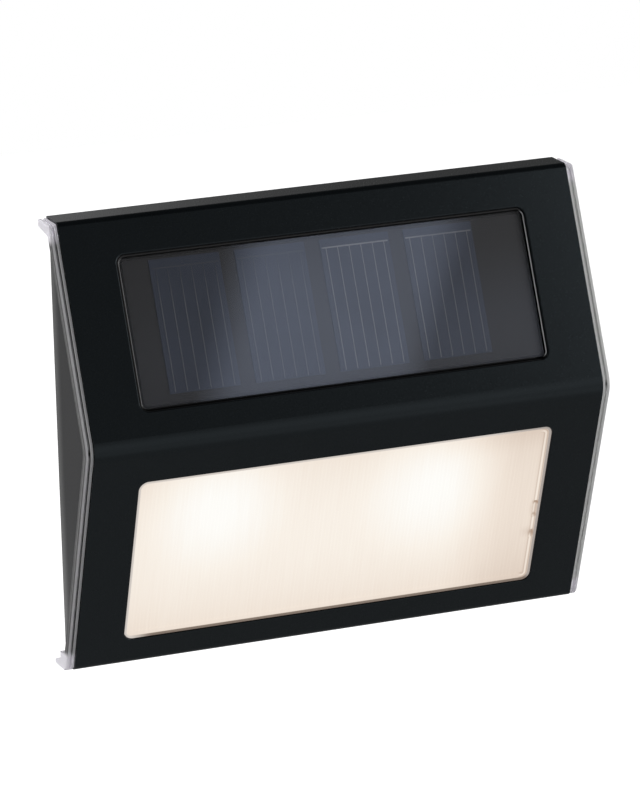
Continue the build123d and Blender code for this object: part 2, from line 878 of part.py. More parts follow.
def make_door_seal():
    near = door_face + door
    far = near + door_seal_thickness
    width = bay_length + 2 * (door_lap - door_gap)
    low = door_low + 2 * door_gap
    high = hinge_z - knuckle_radius - 2 * hinge_floor_gap
    middle = (low + high) / 2
    ring = slab(width, high - low, near, far, bay_x, middle)
    inner_width = width - 2 * door_seal_width
    inner_height = high - low - 2 * door_seal_width
    return ring - slab(inner_width, inner_height, near - over_cut, far + over_cut, bay_x, middle)


def make_door_screw():
    head_near = door_screw_seat() - door_screw_head_height
    sizes = (door_screw_head_radius, door_screw_head_height, door_screw_radius, door_screw_length)
    return screw(bay_x, door_screw_z, head_near, *sizes)


def contact_middles():
    """Middle of the negative and the positive contact along X."""
    inset = contact_fit + contact / 2
    return [bay_left + inset, bay_right - inset]


def battery_end():
    """Tip of the cell's nub, just clear of the positive contact."""
    return bay_right - contact - 2 * contact_fit


def make_battery_cell():
    can = battery_length - battery_nub_length
    can_end = battery_end() - battery_nub_length
    cell = rod(battery_radius - sleeve_wall, can, can_end - can / 2, battery_depth, bay_z)
    nub_middle = battery_end() - battery_nub_length / 2
    return cell + rod(battery_nub_radius, battery_nub_length, nub_middle, battery_depth, bay_z)


def make_battery_sleeve():
    length = battery_length - battery_nub_length - 2 * sleeve_turn
    middle = battery_end() - battery_nub_length - sleeve_turn - length / 2
    sleeve = rod(battery_radius, length, middle, battery_depth, bay_z)
    return sleeve - rod(battery_radius - sleeve_wall, length + over_cut, middle, battery_depth, bay_z)


def make_contact(x):
    near = battery_depth - contact_size / 2
    tab_far = bay_floor + bay_wall + contact_tab_reach
    leaf = slab(contact, contact_size, near, near + contact_size, x, bay_z)
    return leaf + slab(contact, contact_tab_width, battery_depth, tab_far, x, bay_z)


def make_negative_contact():
    return make_contact(contact_middles()[0])


def make_positive_contact():
    return make_contact(contact_middles()[1])


def helix_spot(turn):
    """Point and direction of the spring's wire after a number of turns, about the X axis."""
    angle = 360 * turn
    around = Vector(0, spring_radius, 0).rotate(Axis.X, angle)
    along = Vector(0, 0, spring_radius).rotate(Axis.X, angle) * 2 * pi
    point = around + Vector(spring_pitch * turn, 0, 0)
    return point, (along + Vector(spring_pitch, 0, 0)).normalized()


def biarc(start, start_way, end, end_way):
    """Two arcs that leave one point and reach another in given directions."""
    chord = end - start
    ways = start_way + end_way
    slack = 2 * (1 - start_way.dot(end_way))
    lean = chord.dot(ways)
    reach = ((lean**2 + slack * chord.dot(chord)) ** 0.5 - lean) / slack
    first = start + start_way * reach
    second = end - end_way * reach
    meeting = (first + second) / 2
    return [
        TangentArc(start, meeting, tangent=start_way),
        TangentArc(meeting, end, tangent=second - first),
    ]


def least_gap(path):
    """Least clear distance between stretches of the spring's wire over half a turn apart."""
    steps = spring_samples * spring_turns
    points = [path @ (step / steps) for step in range(steps + 1)]
    apart = spring_samples // 2
    spans = [(far - near).length for start, near in enumerate(points) for far in points[start + apart:]]
    return min(spans) - spring_wire


def make_contact_spring():
    quarters = 4 * spring_turns
    spots = [helix_spot(step / 4) for step in range(quarters + 1)]
    arcs = []
    for (start, start_way), (end, end_way) in zip(spots, spots[1:]):
        arcs += biarc(start, start_way, end, end_way)
    path = Wire(arcs)
    print("contact spring: least gap to itself", round(least_gap(path), 3), "mm")
    section = Plane(origin=path @ 0, z_dir=path % 0) * Circle(spring_wire / 2)
    coil = sweep(section, path=path)
    start_x = contact_middles()[0] + contact / 2 + contact_fit + spring_wire / 2
    return Pos(start_x, -battery_depth, bay_z) * coil


def make_control_board():
    x, z = board_middle()
    board = slab(board_width, board_height, board_near, board_far, x, z, board_corner)
    for screw_spot_x, screw_spot_z in board_screw_spots():
        hole = board_screw_radius + screw_clearance
        board -= post(hole, board_near - over_cut, board_far + over_cut, screw_spot_x, screw_spot_z)
    return board


def make_driver_chip():
    x, z = board_middle()
    x += chip_shift[0]
    z += chip_shift[1]
    chip = slab(chip_size, chip_size, board_far, board_far + chip_height, x, z)
    first = x - chip_leg_pitch * (chip_leg_count - 1) / 2
    reach = chip_size + 2 * chip_leg_reach
    for index in range(chip_leg_count):
        leg_x = first + index * chip_leg_pitch
        chip += slab(chip_leg_width, reach, board_far, board_far + chip_leg_width, leg_x, z)
    return chip


def make_inductor():
    x, z = board_middle()
    x += inductor_shift[0]
    z += inductor_shift[1]
    far = board_far + inductor_height
    coil = post(inductor_waist, board_far, far, x, z)
    coil += post(inductor_radius, board_far, board_far + inductor_flange, x, z)
    return coil + post(inductor_radius, far - inductor_flange, far, x, z)


def make_capacitor():
    x, z = board_middle()
    x += capacitor_shift[0]
    z += capacitor_shift[1]
    can = post(capacitor_radius, board_far, board_far + capacitor_height, x, z)
    top = can.edges().filter_by(GeomType.CIRCLE).sort_by(Axis.Y)[0]
    return fillet(top, least_bend)


def make_board_screws():
    sizes = (board_screw_head_radius, board_screw_head_height, board_screw_radius, board_screw_length)
    screws = Part()
    for x, z in board_screw_spots():
        screws += facing_screw(x, z, board_far, *sizes)
    return screws


def make_switch_body():
    near = plate + switch_air
    body = slab(switch_width, switch_height, near, board_near, switch_x - knob_travel / 2, switch_z)
    slot_width = stem_width + knob_travel + 2 * knob_gap
    slot_height = stem_height + 2 * knob_gap
    slot_far = plate + stem_length + knob_gap
    slot_middle = switch_x - knob_travel / 2
    return body - slab(slot_width, slot_height, near - over_cut, slot_far, slot_middle, switch_z)


def make_switch_knob():
    knob = slab(knob_width, knob_height, knob_recess, plate, switch_x, switch_z)
    first = switch_x - 2 * grip_width * (grip_count - 1) / 2
    for index in range(grip_count):
        groove_x = first + 2 * grip_width * index
        groove_far = knob_recess + grip_depth
        knob -= slab(grip_width, knob_height + over_cut, 0, groove_far, groove_x, switch_z)
    return knob + slab(stem_width, stem_height, plate / 2, plate + stem_length, switch_x, switch_z)


def make_led_board():
    width = led_spacing + 2 * led_board_margin
    height = led_board_top + led_board_bottom
    middle = led_z + (led_board_top - led_board_bottom) / 2
    board = slab(width, height, led_board_near, led_board_far, 0, middle)
    notch = door_tab_width + 2 * (door_gap + boss_wall + led_notch_gap)
    notch_low = door_low - door_tab_reach - door_gap - boss_wall - led_notch_gap
    notch_height = 2 * (led_z + led_board_top - notch_low)
    notch_near = led_board_near - over_cut
    notch_far = led_board_far + over_cut
    board -= slab(notch, notch_height, notch_near, notch_far, bay_x, led_z + led_board_top)
    for x, z in led_screw_spots():
        hole = board_screw_radius + screw_clearance
        board -= post(hole, led_board_near - over_cut, led_board_far + over_cut, x, z)
    for led_x in led_spots():
        for x in lead_spots(led_x):
            hole = lead_radius + screw_clearance
            board -= post(hole, led_board_near - over_cut, led_board_far + over_cut, x, led_z)
    return board


def make_led_board_screws():
    sizes = (board_screw_head_radius, led_screw_head_height, board_screw_radius, led_screw_length)
    screws = Part()
    for x, z in led_screw_spots():
        screws += facing_screw(x, z, led_board_far, *sizes)
    return screws


def make_led(x):
    dome_depth = led_board_far + led_length - led_radius
    led = post(led_flange_radius, led_board_far, led_board_far + led_flange, x, led_z)
    led += post(led_radius, led_board_far, dome_depth, x, led_z)
    led += Pos(x, -dome_depth, led_z) * Sphere(led_radius)
    for lead_x in lead_spots(x):
        led += post(lead_radius, led_board_far - lead_length, led_board_far, lead_x, led_z)
    return led


def make_led_left():
    return make_led(led_spots()[0])


def make_led_right():
    return make_led(led_spots()[1])


def wire(points):
    """Insulated wire along (x, depth, height) points, with turns as round as its runs allow."""
    spots = [Vector(x, -depth, z) for x, depth, z in points]
    runs = [end - start for start, end in zip(spots, spots[1:])]
    bends = []
    for before, after in zip(runs, runs[1:]):
        half_turn = radians(before.get_angle(after) / 2)
        room = bend_share * min(before.length, after.length) / tan(half_turn)
        bends.append(min(wire_bend, room))
    path = FilletPolyline(*spots, radius=bends)
    section = Plane(origin=path @ 0, z_dir=path % 0) * Circle(wire_radius)
    return sweep(section, path=path)


def solar_wire(x):
    """From a solder pad on the back of the panel to the control board."""
    drop = solar_pad_drop()
    end_z = switch_z + solder_gap
    return wire([
        panel_point(upper_panel, x, drop, skin_in - tape),
        panel_point(upper_panel, x, drop, skin_in + pocket_floor + 2 * solder_gap),
        (x, board_far + 2 * wire_bend, end_z),
        (x, board_far, end_z),
    ])


def make_solar_wire_red():
    return solar_wire(solar_pads()[0])


def make_solar_wire_black():
    return solar_wire(solar_pads()[1])


def battery_pad_x():
    return switch_x - board_width / 2 + solder_gap


def make_battery_wire_red():
    tab = bay_floor + bay_wall + contact_tab_reach
    start = contact_middles()[1]
    return wire([
        (start, tab, bay_z),
        (start, tab + wire_rise, bay_z),
        (battery_pad_x(), tab, bay_z),
        (battery_pad_x(), board_far, bay_z),
    ])


def make_battery_wire_black():
    tab = bay_floor + bay_wall + contact_tab_reach
    start = contact_middles()[0]
    low = bay_z - solder_gap
    return wire([
        (start, tab, bay_z),
        (start, tab + wire_rise, bay_z),
        (start + 2 * solder_gap, tab + wire_rise, low),
        (bay_right, tab + wire_bend, low),
        (battery_pad_x(), tab - solder_gap, low),
        (battery_pad_x(), board_far, low),
    ])


def led_wire(index):
    """From the lower edge of the control board down to the end of the LED board."""
    start_x = switch_x - board_width / 2 + led_wire_inset + index * solder_gap
    start_z = switch_z - board_height / 2 + wire_bend
    end_x = led_spacing / 2 + led_board_margin - wire_radius - (1 - index) * solder_gap
    end_z = led_z + led_board_top - 2 * wire_radius
    return wire([
        (start_x, board_far, start_z),
        (start_x, board_far + 2 * wire_bend, start_z),
        (end_x, board_far + wire_bend, end_z + solder_gap),
        (end_x, led_board_far + wire_bend, end_z),
        (end_x, led_board_far, end_z),
    ])


def make_led_wire_red():
    return led_wire(0)


def make_led_wire_black():
    return led_wire(1)


PIECES = {
    "front_cover": make_front_cover,
    "cover_tape": make_cover_tape,
    "clear_frame": make_clear_frame,
    "lens": make_lens,
    "reflector": make_reflector,
    "solar_tape": make_solar_tape,
    "solar_board": make_solar_board,
    "solar_cells": make_solar_cells,
    "solar_grid": make_solar_grid,
    "solar_film": make_solar_film,
    "housing_frame": make_housing_frame,
    "back_gasket": make_back_gasket,
    "back_plate": make_back_plate,
    "plate_screws": make_plate_screws,
    "battery_door": make_battery_door,
    "door_seal": make_door_seal,
    "door_screw": make_door_screw,
    "battery_cell": make_battery_cell,
    "battery_sleeve": make_battery_sleeve,
    "positive_contact": make_positive_contact,
    "negative_contact": make_negative_contact,
    "contact_spring": make_contact_spring,
    "control_board": make_control_board,
    "driver_chip": make_driver_chip,
    "inductor": make_inductor,
    "capacitor": make_capacitor,
    "board_screws": make_board_screws,
    "switch_body": make_switch_body,
    "switch_knob": make_switch_knob,
    "led_board": make_led_board,
    "led_board_screws": make_led_board_screws,
    "led_left": make_led_left,
    "led_right": make_led_right,
    "solar_wire_red": make_solar_wire_red,
    "solar_wire_black": make_solar_wire_black,
    "battery_wire_red": make_battery_wire_red,
    "battery_wire_black": make_battery_wire_black,
    "led_wire_red": make_led_wire_red,
    "led_wire_black": make_led_wire_black,
}


def main():
    os.makedirs("parts", exist_ok=True)
    for name, make in PIECES.items():
        export_step(make(), f"parts/{name}.step")


if __name__ == "__main__":
    main()
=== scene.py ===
import json
from math import cos, pi, sin

import bpy
from mathutils import Matrix, Vector


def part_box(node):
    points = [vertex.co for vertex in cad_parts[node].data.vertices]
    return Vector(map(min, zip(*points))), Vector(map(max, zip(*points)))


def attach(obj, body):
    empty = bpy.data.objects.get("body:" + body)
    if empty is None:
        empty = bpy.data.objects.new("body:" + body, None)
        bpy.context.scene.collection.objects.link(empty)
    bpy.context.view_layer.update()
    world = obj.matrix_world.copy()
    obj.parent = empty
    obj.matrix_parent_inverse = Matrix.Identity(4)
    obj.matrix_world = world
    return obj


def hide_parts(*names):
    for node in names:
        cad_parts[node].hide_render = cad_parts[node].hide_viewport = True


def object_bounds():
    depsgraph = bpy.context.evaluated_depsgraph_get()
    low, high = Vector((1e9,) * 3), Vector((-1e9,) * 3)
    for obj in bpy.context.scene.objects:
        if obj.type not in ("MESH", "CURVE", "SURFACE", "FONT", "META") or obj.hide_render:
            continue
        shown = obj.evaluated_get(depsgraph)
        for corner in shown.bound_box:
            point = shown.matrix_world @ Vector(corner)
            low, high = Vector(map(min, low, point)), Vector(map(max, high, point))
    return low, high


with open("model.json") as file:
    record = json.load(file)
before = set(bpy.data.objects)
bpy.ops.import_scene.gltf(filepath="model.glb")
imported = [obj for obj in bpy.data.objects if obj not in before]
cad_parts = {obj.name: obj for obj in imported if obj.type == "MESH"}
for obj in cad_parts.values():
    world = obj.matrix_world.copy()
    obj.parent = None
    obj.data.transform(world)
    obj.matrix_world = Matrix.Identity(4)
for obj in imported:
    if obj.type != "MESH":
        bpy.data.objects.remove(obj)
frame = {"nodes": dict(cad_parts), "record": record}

cad_low, cad_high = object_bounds()

# Lengths are in metres, in the frame of the model: +Z is up and the front faces -Y.
# A pair of values that ends in _FADE holds where a smooth change starts and where it is complete.
MM = 0.001

# Camera at the photograph's viewpoint
CAMERA_PLACE = Vector((-0.36312, -0.91364, 0.28280))
CAMERA_RIGHT = Vector((0.92567, -0.37764, -0.02281))
CAMERA_UP = Vector((0.12429, 0.24661, 0.96111))
FOCAL_LENGTH = 217.29
SENSOR_WIDTH = 36.0

# Floor, which reflections show darker close to the object
FLOOR_DROP = 0.072
FLOOR_SIZE = 1.5
FLOOR_COLOUR = (0.55, 0.55, 0.55, 1)
FLOOR_ROUGHNESS = 0.9
FLOOR_GLOW = 0.78
FLOOR_MIRROR_NEAR = 0.05
FLOOR_MIRROR_FAR = 0.45
FLOOR_MIRROR_FADE = (0.20, 0.30)

# Room: light levels, and the directions over which one level changes to the next
AMBIENT = 0.38
ROOM_HORIZON = 1.0
ROOM_FRONT = 0.33
ROOM_BACK_LEFT = 0.6
ROOM_BACK_RIGHT = 0.145
ROOM_LEFT = 0.25
ROOM_CEILING = 0.05
ABOVE_HORIZON_FADE = (0.16, 0.40)
BELOW_CEILING_FADE = (0.64, 0.45)
FRONT_TO_BACK_FADE = (-0.4, 0.4)
BACK_LEFT_TO_RIGHT_FADE = (0.295, 0.35)
LEFT_TO_REST_FADE = (-0.25, 0.05)

# Noise: the part of its range that is in use, and its roughness
NOISE_LOW = 0.3
NOISE_HIGH = 0.7
NOISE_ROUGHNESS = 0.6

# Corners of the bent cover, seen from the side
TOP_CORNER = Vector((0, -7.4, 48.15)) * MM
RIDGE_CORNER = Vector((0, -25.8, 3.75)) * MM
BOTTOM_CORNER = Vector((0, -7.5, -48.15)) * MM

# Clear frame: lips and tabs at its ends, and the rim of the solar pocket, with depths from the cover's face
# Its colour holds painted light that follows which way a surface faces and which half it is on, and painted
# shade deep down and behind the cover
SIDE_FACING_FADE = (0.35, 0.75)
RIGHT_HALF_FADE = (-10 * MM, 10 * MM)
INSIDE_FADE = (54 * MM, 53 * MM)
TAB_FADE = (43.5 * MM, 45.0 * MM)
LIP_DEPTH_FADE = (1.0 * MM, 1.3 * MM)
RIM_DEPTH_FADE = (1.22 * MM, 1.36 * MM)
TOP_RIM_FADE = (0.3 * MM, -0.3 * MM)

# Housing: depth from the wall, near which painted light makes it paler, and height
NEAR_WALL_FADE = (4.5 * MM, 0.0)
HOUSING_FOOT_FADE = (-5 * MM, -46 * MM)

# Lens: the outline is measured down the lower slope from the ridge
LENS_TOP = 9.05 * MM
LENS_HEIGHT = 39.7 * MM
LENS_WIDTH = 92.5 * MM
LENS_CORNER = 1.7 * MM
# Colours of the painted shade and highlight lines on the lens and its bead
LENS_BROWN = (0.36, 0.24, 0.17)
LENS_CREAM = (0.98, 0.90, 0.80)
LENS_GREY = (0.42, 0.37, 0.34)
LENS_SHADE = (0.17, 0.12, 0.09)

# Light in the lens: a level that is highest part of the way down, two spots, and dimmer ends
LENS_LEVEL = 0.70
LENS_BRIGHTEST = 0.46
LEFT_SPOT = (-28.0 * MM, 7.0 * MM)
LEFT_SPOT_GAIN = 0.38
RIGHT_SPOT = (20.5 * MM, 10.5 * MM)
RIGHT_SPOT_GAIN = 0.34
SPOT_REACH = (21 * MM, 25 * MM)
RIGHT_END_FADE = (24 * MM, 42 * MM)
RIGHT_END_LOSS = 0.33
LEFT_END_FADE = (-36 * MM, -46 * MM)
LEFT_END_LOSS = 0.06
TOP_RIGHT_ACROSS_FADE = (12 * MM, 32 * MM)
TOP_RIGHT_DOWN_FADE = (7 * MM, 0.0)
TOP_RIGHT_LOSS = 0.14
STREAK_WIDTH = 0.5 * MM
STREAK_SQUEEZE = (1, 0.04, 0.04)
STREAK_GAIN = 0.02
LENS_COLOURS = (
    (0.0, (0.69, 0.57, 0.48)),
    (0.43, (0.855, 0.752, 0.658)),
    (0.72, (0.939, 0.871, 0.791)),
    (1.0, (0.985, 0.97, 0.935)),
)

# Painted shade and highlight lines along the lens's right edge: distance from the edge, half width, strength
# and colour
LENS_LINES = (
    (1.3 * MM, 0.22 * MM, 0.35, LENS_BROWN),
    (0.95 * MM, 0.3 * MM, 0.4, LENS_CREAM),
    (0.5 * MM, 0.22 * MM, 0.45, LENS_BROWN),
    (0.0, 0.45 * MM, 0.75, LENS_GREY),
)
# Share of a line's half width that has its full strength
LINE_CORE = 0.3
RIGHT_EDGE_FADE = (43.6 * MM, 45.0 * MM)
FOOT_SHADE_HEIGHT = 0.5 * MM
FOOT_SHADE_STRENGTH = 0.8

# Painted shade at the lens's two notches: place down the lens, length, half width and strength
NOTCH_SHADES = (
    (19.6 * MM, 1.6 * MM, 0.9 * MM, 0.95),
    (22.9 * MM, 1.5 * MM, 0.8 * MM, 0.6),
    (21.2 * MM, 4.6 * MM, 1.6 * MM, 0.15),
    (27.6 * MM, 2.6 * MM, 0.9 * MM, 0.7),
    (27.4 * MM, 4.0 * MM, 3.2 * MM, 0.16),
)
NOTCH_INSET = 0.8 * MM

# Bead round the lens: the foot and the top are depths from the cover's face
BEAD_LAP = 0.25 * MM
BEAD_WIDTH = 0.55 * MM
BEAD_FOOT = 0.55 * MM
BEAD_TOP = 0.12 * MM
# Painted shade on the bead: grey towards the right, and brown along the foot but for the left corner
BEAD_RIGHT_FADE = (30 * MM, 45 * MM)
BEAD_FOOT_FADE = (LENS_HEIGHT - 1.2 * MM, LENS_HEIGHT - 0.2 * MM)
BEAD_CORNER_FADE = (-45.5 * MM, -40 * MM)

# Solar panel: its top is measured down the upper slope from the cover's top corner
PANEL_TOP = 9.2 * MM
PRINT_DOWN_FADE = (2 * MM, 12 * MM)
PRINT_THIRD_CELL_FADE = (-3 * MM, 1 * MM)
PRINT_FOURTH_CELL_FADE = (20 * MM, 24 * MM)

# Haze in the solar film: a band that leans to the left on its way down, and a faint veil
HAZE_LEAN = 0.42
HAZE_LEFT = -17 * MM
HAZE_RIGHT = 29.5 * MM
HAZE_SOFTNESS = 7 * MM
HAZE_MIDDLE = (-10 * MM, 21 * MM)
HAZE_MIDDLE_GAIN = 0.25
VEIL_ACROSS_FADE = (-20 * MM, 25 * MM)
VEIL_DOWN_FADE = (2 * MM, 24 * MM)

# Solar film's shell
FILM_SPREAD = 0.5 * MM
FILM_SHIFT = -0.17 * MM
FILM_CORNER = 0.7 * MM
FILM_EDGE = 0.12 * MM
ROUND_STEPS = 6

# Finger bars on the battery door: their ends taper to a small share of the full section
GRIP_BARS = 5
GRIP_GAP = 3.0 * MM
GRIP_STEP = 1.8 * MM
GRIP_LENGTH = 18 * MM
GRIP_TAPER = 2.4 * MM
GRIP_WIDTH = 1.0 * MM
GRIP_HEIGHT = 0.4 * MM
GRIP_SINK = 0.03 * MM
GRIP_TIP = 0.1414


def make_camera():
    data = bpy.data.cameras.new("camera")
    data.sensor_width = SENSOR_WIDTH
    data.lens = FOCAL_LENGTH
    camera = bpy.data.objects.new("camera", data)
    right = CAMERA_RIGHT.normalized()
    back = right.cross(CAMERA_UP).normalized()
    up = back.cross(right)
    turn = Matrix((right, up, back)).transposed().to_4x4()
    camera.matrix_world = Matrix.Translation(CAMERA_PLACE) @ turn
    bpy.context.scene.collection.objects.link(camera)
    bpy.context.scene.camera = camera


def add(tree, kind, inputs=None, **settings):
    """A shader node with its settings and its unlinked input values."""
    made = tree.nodes.new(kind)
    for name, value in settings.items():
        setattr(made, name, value)
    for name, value in (inputs or {}).items():
        made.inputs[name].default_value = value
    return made


def combine(tree, operation, first, second=0.0):
    """One step of arithmetic on values that are each a number or another node's output."""
    made = add(tree, "ShaderNodeMath", operation=operation)
    for socket, value in zip(made.inputs, (first, second)):
        if isinstance(value, (int, float)):
            socket.default_value = value
        else:
            tree.links.new(value, socket)
    return made.outputs[0]


def fade(tree, value, start, end, low=0.0, high=1.0):
    """A smooth change from low to high while a value goes from start to end."""
    limits = {"From Min": start, "From Max": end, "To Min": low, "To Max": high}
    made = add(tree, "ShaderNodeMapRange", limits, interpolation_type="SMOOTHSTEP")
    tree.links.new(value, made.inputs["Value"])
    return made.outputs["Result"]


def tint_value(tree, share, first, second):
    """A value that goes from the first value to the second while a share goes from 0 to 1."""
    kept = combine(tree, "MULTIPLY", first, combine(tree, "SUBTRACT", 1.0, share))
    return combine(tree, "ADD", kept, combine(tree, "MULTIPLY", second, share))


def seen_directly(tree):
    """1 for camera and transmission rays, and 0 for the rest."""
    path = add(tree, "ShaderNodeLightPath")
    return combine(tree, "MAXIMUM", path.outputs["Is Camera Ray"], path.outputs["Is Transmission Ray"])


def seen_mirrored(tree):
    """1 for glossy rays, and 0 for the rest."""
    return add(tree, "ShaderNodeLightPath").outputs["Is Glossy Ray"]


def room_level(tree):
    """Brightness of the room in a reflection: a bright horizon, a dimmer front and a dark ceiling."""
    direction = add(tree, "ShaderNodeSeparateXYZ")
    tree.links.new(add(tree, "ShaderNodeTexCoord").outputs["Generated"], direction.inputs[0])
    raised = fade(tree, direction.outputs["Z"], *ABOVE_HORIZON_FADE)
    front = fade(tree, raised, 0.0, 1.0, ROOM_HORIZON, ROOM_FRONT)
    back = fade(tree, direction.outputs["X"], *BACK_LEFT_TO_RIGHT_FADE, ROOM_BACK_LEFT, ROOM_BACK_RIGHT)
    walls = tint_value(tree, fade(tree, direction.outputs["Y"], *FRONT_TO_BACK_FADE), front, back)
    walls = tint_value(tree, fade(tree, direction.outputs["X"], *LEFT_TO_REST_FADE), ROOM_LEFT, walls)
    below = fade(tree, direction.outputs["Z"], *BELOW_CEILING_FADE)
    return combine(tree, "MAXIMUM", combine(tree, "MULTIPLY", walls, below), ROOM_CEILING)


def make_world():
    world = bpy.data.worlds.new("studio")
    bpy.context.scene.world = world
    world.use_nodes = True
    tree = world.node_tree
    mirrored = combine(tree, "MULTIPLY", seen_mirrored(tree), room_level(tree))
    direct = combine(tree, "MAXIMUM", seen_directly(tree), mirrored)
    lit = combine(tree, "MAXIMUM", seen_directly(tree), seen_mirrored(tree))
    ambient = fade(tree, lit, 0.0, 1.0, AMBIENT, 0.0)
    background = tree.nodes["Background"]
    background.inputs["Color"].default_value = (1, 1, 1, 1)
    tree.links.new(combine(tree, "ADD", direct, ambient), background.inputs["Strength"])


def make_floor():
    mesh = bpy.data.meshes.new("floor")
    half = FLOOR_SIZE / 2
    corners = [(-half, -half, 0), (half, -half, 0), (half, half, 0), (-half, half, 0)]
    mesh.from_pydata(corners, [], [(0, 1, 2, 3)])
    floor = bpy.data.objects.new("floor", mesh)
    floor.location = (0, 0, cad_low.z - FLOOR_DROP)
    bpy.context.scene.collection.objects.link(floor)
    material, tree, shader = new_material("floor_white")
    shader.inputs["Base Color"].default_value = FLOOR_COLOUR
    shader.inputs["Roughness"].default_value = FLOOR_ROUGHNESS
    shader.inputs["Specular IOR Level"].default_value = 0.0
    shader.inputs["Emission Color"].default_value = (1, 1, 1, 1)
    direct = combine(tree, "MULTIPLY", seen_directly(tree), FLOOR_GLOW)
    distance = add(tree, "ShaderNodeVectorMath", operation="LENGTH")
    tree.links.new(place_of(tree), distance.inputs[0])
    far = fade(tree, distance.outputs["Value"], *FLOOR_MIRROR_FADE, FLOOR_MIRROR_NEAR, FLOOR_MIRROR_FAR)
    mirrored = combine(tree, "MULTIPLY", seen_mirrored(tree), far)
    tree.links.new(combine(tree, "MAXIMUM", direct, mirrored), shader.inputs["Emission Strength"])
    mesh.materials.append(material)


def make_lamp(name, place, aim, width, height, power, mirrored=True):
    data = bpy.data.lights.new(name, "AREA")
    data.shape = "RECTANGLE"
    data.size = width
    data.size_y = height
    data.energy = power
    lamp = bpy.data.objects.new(name, data)
    lamp.location = place
    lamp.rotation_euler = (Vector(aim) - Vector(place)).to_track_quat("-Z", "Y").to_euler()
    lamp.visible_glossy = mirrored
    bpy.context.scene.collection.objects.link(lamp)


def make_lamps():
    middle = (0, 0, 0)
    right_part = (0.04, 0, 0)
    make_lamp("overhead_softbox", (-0.55, 0.60, 0.80), middle, width=0.7, height=0.6, power=6.0)
    make_lamp("left_softbox", (-1.0, 0.15, 0.15), middle, width=0.6, height=0.8, power=5.0, mirrored=False)
    make_lamp("right_softbox", (0.38, -0.32, 0.15), right_part, width=0.22, height=0.30, power=0.8)


def new_material(name):
    material = bpy.data.materials.new(name)
    material.use_nodes = True
    tree = material.node_tree
    return material, tree, tree.nodes["Principled BSDF"]


def place_of(tree):
    return add(tree, "ShaderNodeTexCoord").outputs["Object"]


def along(tree, direction, start=(0, 0, 0)):
    """Distance of the surface from a start point, measured along a direction."""
    made = add(tree, "ShaderNodeVectorMath", operation="DOT_PRODUCT")
    made.inputs[1].default_value = direction
    tree.links.new(place_of(tree), made.inputs[0])
    return combine(tree, "SUBTRACT", made.outputs["Value"], Vector(start).dot(Vector(direction)))


def across_of(tree):
    """Distance of the surface to the right of the model's middle."""
    return along(tree, (1, 0, 0))


def drop_on(tree, upper, lower, top):
    """Distance of the surface down one of the cover's slopes, from a place below its upper corner."""
    return combine(tree, "SUBTRACT", along(tree, (lower - upper).normalized(), upper), top)


def lens_drop(tree):
    return drop_on(tree, RIDGE_CORNER, BOTTOM_CORNER, LENS_TOP)


def panel_drop(tree):
    return drop_on(tree, TOP_CORNER, RIDGE_CORNER, PANEL_TOP)


def grain(tree, size, detail=3.0, squeeze=(1, 1, 1)):
    """Noise from 0 to 1 with grains of about this size, longer where the squeeze is below 1."""
    mapping = add(tree, "ShaderNodeMapping", {"Scale": Vector(squeeze) / size})
    tree.links.new(place_of(tree), mapping.inputs["Vector"])
    look = {"Scale": 1.0, "Detail": detail, "Roughness": NOISE_ROUGHNESS}
    noise = add(tree, "ShaderNodeTexNoise", look)
    tree.links.new(mapping.outputs[0], noise.inputs["Vector"])
    return noise.outputs["Fac"]


def spread(tree, value, low, high):
    """A noise value spread over a range."""
    limits = {"From Min": NOISE_LOW, "From Max": NOISE_HIGH, "To Min": low, "To Max": high}
    ranged = add(tree, "ShaderNodeMapRange", limits)
    tree.links.new(value, ranged.inputs["Value"])
    return ranged.outputs["Result"]


def tint(tree, value, dark, light):
    """A colour between two colours, each a fixed colour or another node's output."""
    mix = add(tree, "ShaderNodeMix", data_type="RGBA")
    colour_sockets = [socket for socket in mix.inputs if socket.type == "RGBA"]
    for socket, colour in zip(colour_sockets, (dark, light)):
        if isinstance(colour, tuple):
            socket.default_value = (*colour, 1)
        else:
            tree.links.new(colour, socket)
    tree.links.new(value, mix.inputs["Factor"])
    return [socket for socket in mix.outputs if socket.type == "RGBA"][0]


def colour_ramp(tree, value, stops):
    """A colour looked up in a row of (position, colour) stops."""
    made = add(tree, "ShaderNodeValToRGB")
    tree.links.new(value, made.inputs["Fac"])
    elements = made.color_ramp.elements
    while len(elements) < len(stops):
        elements.new(1.0)
    for element, (position, colour) in zip(elements, stops):
        element.position = position
        element.color = (*colour, 1)
    return made.outputs["Color"]


def relief(tree, shader, value, height, strength=1.0):
    bump = add(tree, "ShaderNodeBump", {"Strength": strength, "Distance": height})
    tree.links.new(value, bump.inputs["Height"])
    tree.links.new(bump.outputs["Normal"], shader.inputs["Normal"])


def surface(name, dark, light, rough, grain_size, height, metal=0.0):
    """A finish with a grain that varies its colour and roughness and gives it a fine relief."""
    material, tree, shader = new_material(name)
    noise = grain(tree, grain_size)
    tree.links.new(tint(tree, spread(tree, noise, 0, 1), dark, light), shader.inputs["Base Color"])
    tree.links.new(spread(tree, noise, *rough), shader.inputs["Roughness"])
    relief(tree, shader, noise, height)
    shader.inputs["Metallic"].default_value = metal
    return material


def cover_paint():
    """Satin black paint with a fine grain."""
    material, tree, shader = new_material("cover_paint")
    fine = grain(tree, size=0.35 * MM, detail=2.0)
    broad = grain(tree, size=12 * MM)
    dark = (0.0026, 0.0034, 0.0040)
    light = (0.0034, 0.0043, 0.0050)
    tree.links.new(tint(tree, spread(tree, broad, 0, 1), dark, light), shader.inputs["Base Color"])
    tree.links.new(spread(tree, fine, low=0.21, high=0.28), shader.inputs["Roughness"])
    shader.inputs["Specular IOR Level"].default_value = 0.24
    shader.inputs["Specular Tint"].default_value = (0.76, 0.91, 1.0, 1)
    relief(tree, shader, fine, height=0.02 * MM, strength=0.4)
    return material


